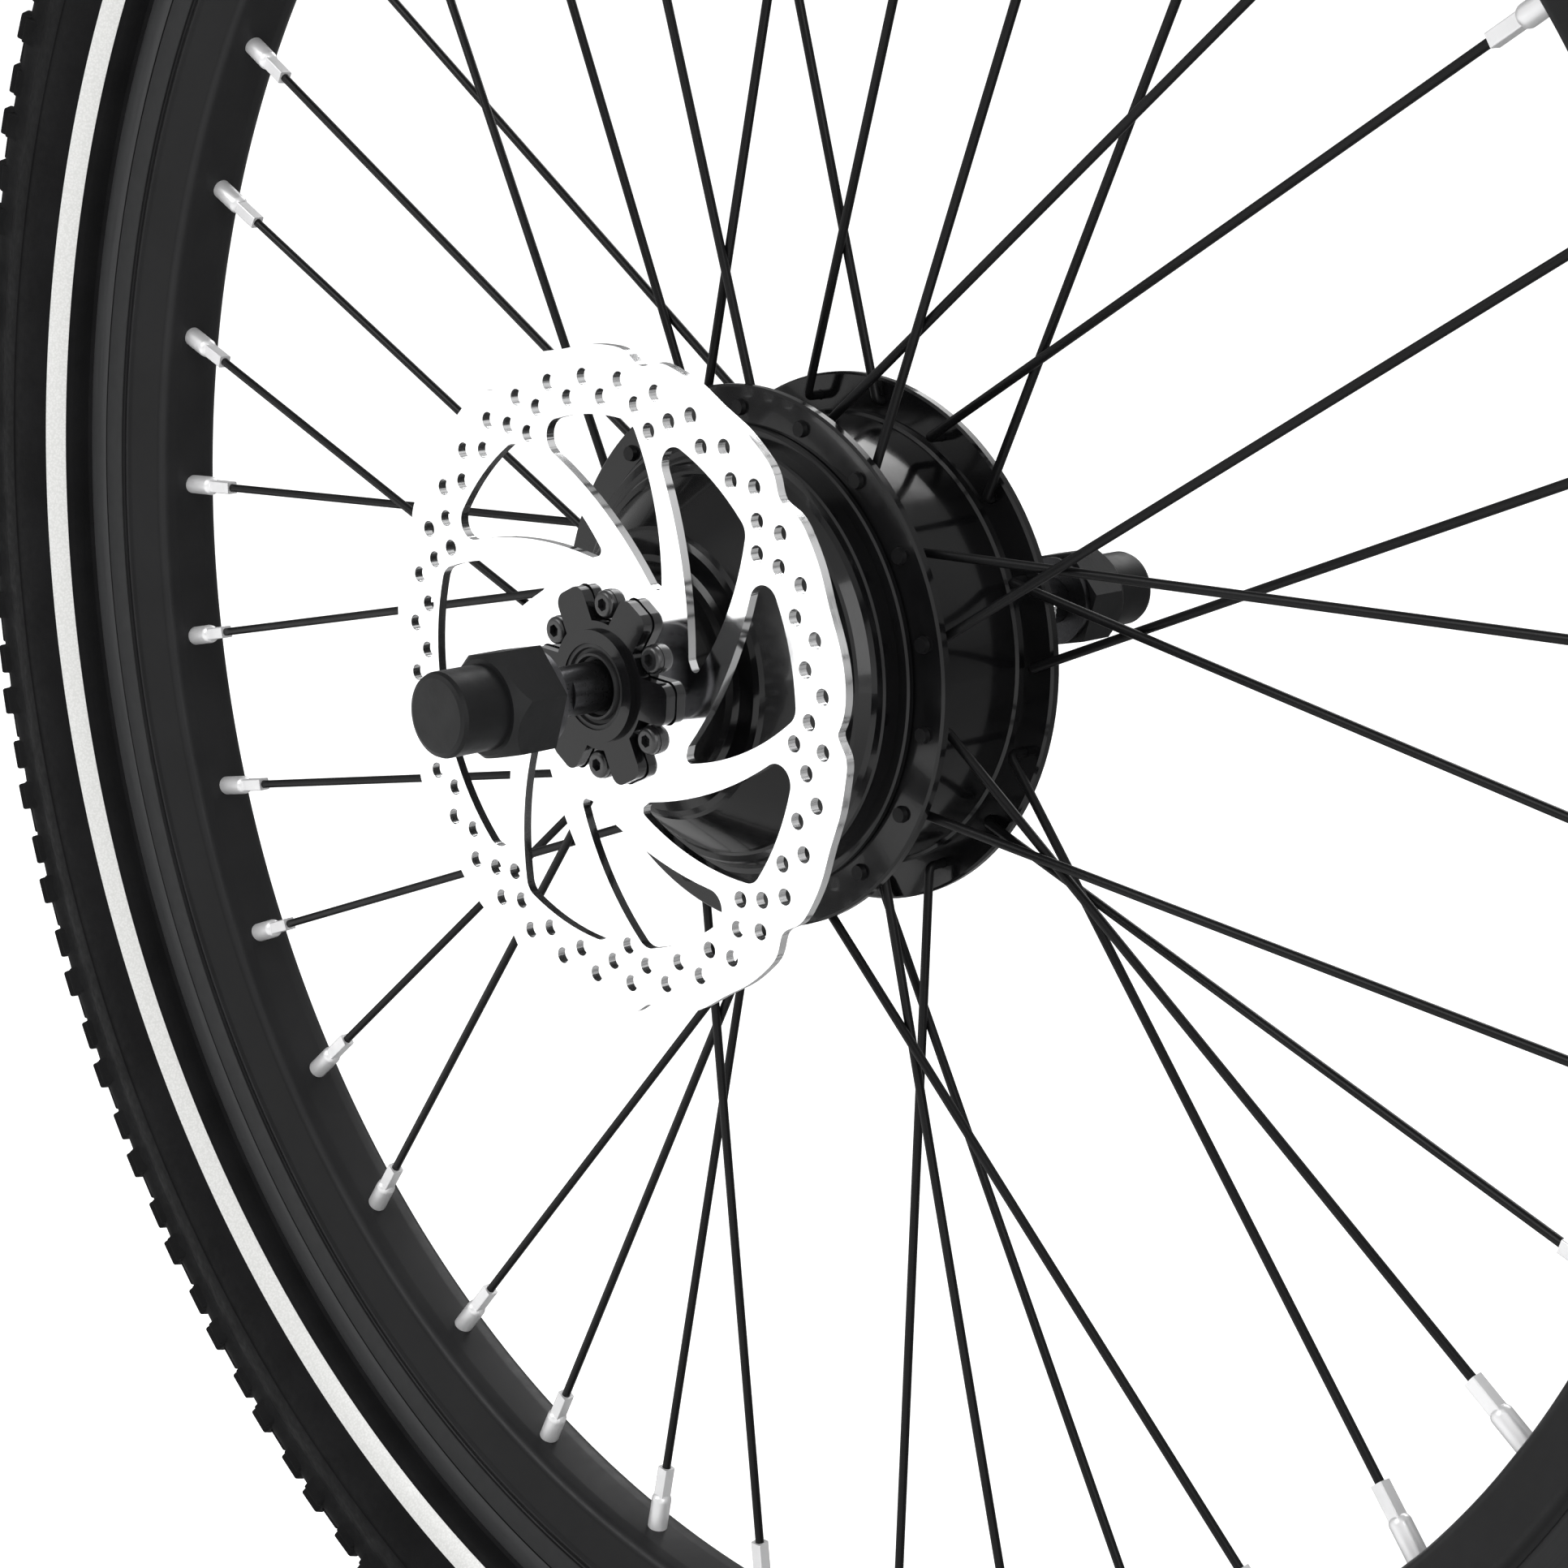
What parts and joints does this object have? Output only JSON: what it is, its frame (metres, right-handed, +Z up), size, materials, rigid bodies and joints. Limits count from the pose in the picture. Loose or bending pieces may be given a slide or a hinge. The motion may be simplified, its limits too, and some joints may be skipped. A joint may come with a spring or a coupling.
{
  "type": "hub motor wheel",
  "caption": "Bicycle rear wheel with a geared hub motor, disc brake rotor, crossed spokes, double-wall rim, tyre and freehub sprockets on a solid axle.",
  "frame": {"origin": "centre of the wheel: the axle line where it crosses the plane of the rim, midway between the two axle ends", "axes": "+Y along the axle towards the drive side, +Z up, +X towards the rear of the bicycle; the brake rotor is on -Y"},
  "size_m": [0.696, 0.2395, 0.696],
  "materials": {
    "axle_steel": "black oxide, satin",
    "nut_dark": "dark plated, satin",
    "hub_black": "gloss",
    "rotor_steel": "polished",
    "bolt_black": "satin",
    "spoke_black": "satin",
    "nipple_silver": "satin",
    "rim_black": "anodised, satin, with bright worn brake tracks",
    "tyre_rubber": "matt",
    "stripe_grey": "reflective band",
    "tube_rubber": "matt",
    "tape_fabric": "woven",
    "brass": "turned",
    "seal_rubber": "moulded",
    "bearing_steel": "ground",
    "gear_nylon": "moulded",
    "gear_steel": "hobbed",
    "lamination": "stacked",
    "copper": "enamelled wire",
    "cast_alloy": "machined",
    "magnet": "nickel plated",
    "board_green": "printed board",
    "sprocket_steel": "satin plated",
    "cap_plastic": "gloss"
  },
  "bodies": {
    "axle": {"axle": "axle_steel", "cable_grommet": "seal_rubber", "axle_nut_left": "nut_dark", "axle_nut_right": "nut_dark", "axle_washer_left": "axle_steel", "axle_washer_right": "axle_steel", "right_locknut": "axle_steel", "right_spacer": "axle_steel", "left_bearing_inner_race": "bearing_steel", "right_bearing_inner_race": "bearing_steel", "clutch_hub": "gear_steel", "clutch_rollers": "bearing_steel", "planet_carrier": "gear_steel", "planet_pins": "gear_steel", "pin_clips": "axle_steel", "stator_core": "lamination", "stator_coils": "copper", "stator_carrier": "cast_alloy", "hall_board": "board_green"},
    "wheel": {"hub_shell": "hub_black", "left_cover": "hub_black", "cover_gasket": "seal_rubber", "axle_seal": "seal_rubber", "ring_gear": "gear_steel", "left_bearing_outer_race": "bearing_steel", "right_bearing_outer_race": "bearing_steel", "brake_rotor": "rotor_steel", "rotor_bolts": "bolt_black", "spokes_left": "spoke_black", "spokes_right": "spoke_black", "nipples": "nipple_silver", "rim": "rim_black", "rim_tape": "tape_fabric", "tyre": "tyre_rubber", "stripe_left": "stripe_grey", "stripe_right": "stripe_grey", "inner_tube": "tube_rubber", "valve_stem": "tube_rubber", "valve_core": "brass", "valve_nut": "brass", "valve_cap": "cap_plastic", "ratchet_ring": "gear_steel"},
    "bearing_balls": {"bearing_balls": "bearing_steel"},
    "motor_rotor": {"magnet_can": "lamination", "magnets": "magnet", "sun_gear": "gear_steel", "rotor_bush": "brass"},
    "planet_1": {"planet_gear_1": "gear_nylon"},
    "planet_2": {"planet_gear_2": "gear_nylon"},
    "planet_3": {"planet_gear_3": "gear_nylon"},
    "cassette": {"freehub_body": "sprocket_steel", "sprocket_spacers": "cap_plastic", "cassette_lockring": "sprocket_steel", "sprocket_24t": "sprocket_steel", "sprocket_22t": "sprocket_steel", "sprocket_20t": "sprocket_steel", "sprocket_18t": "sprocket_steel", "sprocket_16t": "sprocket_steel", "sprocket_14t": "sprocket_steel", "sprocket_12t": "sprocket_steel"}
  },
  "joints": [
    {"name": "wheel_spin", "type": "hinge", "parent": "axle", "child": "wheel", "pos_m": [0, 0, 0], "axis": [0, 1, 0], "continuous": true},
    {"name": "ball_set_spin", "type": "hinge", "parent": "axle", "child": "bearing_balls", "pos_m": [0, 0, 0], "axis": [0, 1, 0], "continuous": true},
    {"name": "motor_rotor_spin", "type": "hinge", "parent": "axle", "child": "motor_rotor", "pos_m": [0, 0, 0], "axis": [0, 1, 0], "continuous": true},
    {"name": "cassette_spin", "type": "hinge", "parent": "wheel", "child": "cassette", "pos_m": [0, 0.05, 0], "axis": [0, 1, 0], "continuous": true},
    {"name": "planet_1_spin", "type": "hinge", "parent": "axle", "child": "planet_1", "pos_m": [0, -0.021, 0.0255], "axis": [0, 1, 0], "continuous": true},
    {"name": "planet_2_spin", "type": "hinge", "parent": "axle", "child": "planet_2", "pos_m": [-0.02208, -0.021, -0.01275], "axis": [0, 1, 0], "continuous": true},
    {"name": "planet_3_spin", "type": "hinge", "parent": "axle", "child": "planet_3", "pos_m": [0.02208, -0.021, -0.01275], "axis": [0, 1, 0], "continuous": true}
  ],
  "couplings": [
    {"joint": "ball_set_spin", "follows": "wheel_spin", "ratio": 0.61},
    {"joint": "motor_rotor_spin", "follows": "wheel_spin", "ratio": -3.6364},
    {"joint": "planet_1_spin", "follows": "wheel_spin", "ratio": 2.7586},
    {"joint": "planet_2_spin", "follows": "wheel_spin", "ratio": 2.7586},
    {"joint": "planet_3_spin", "follows": "wheel_spin", "ratio": 2.7586}
  ]
}
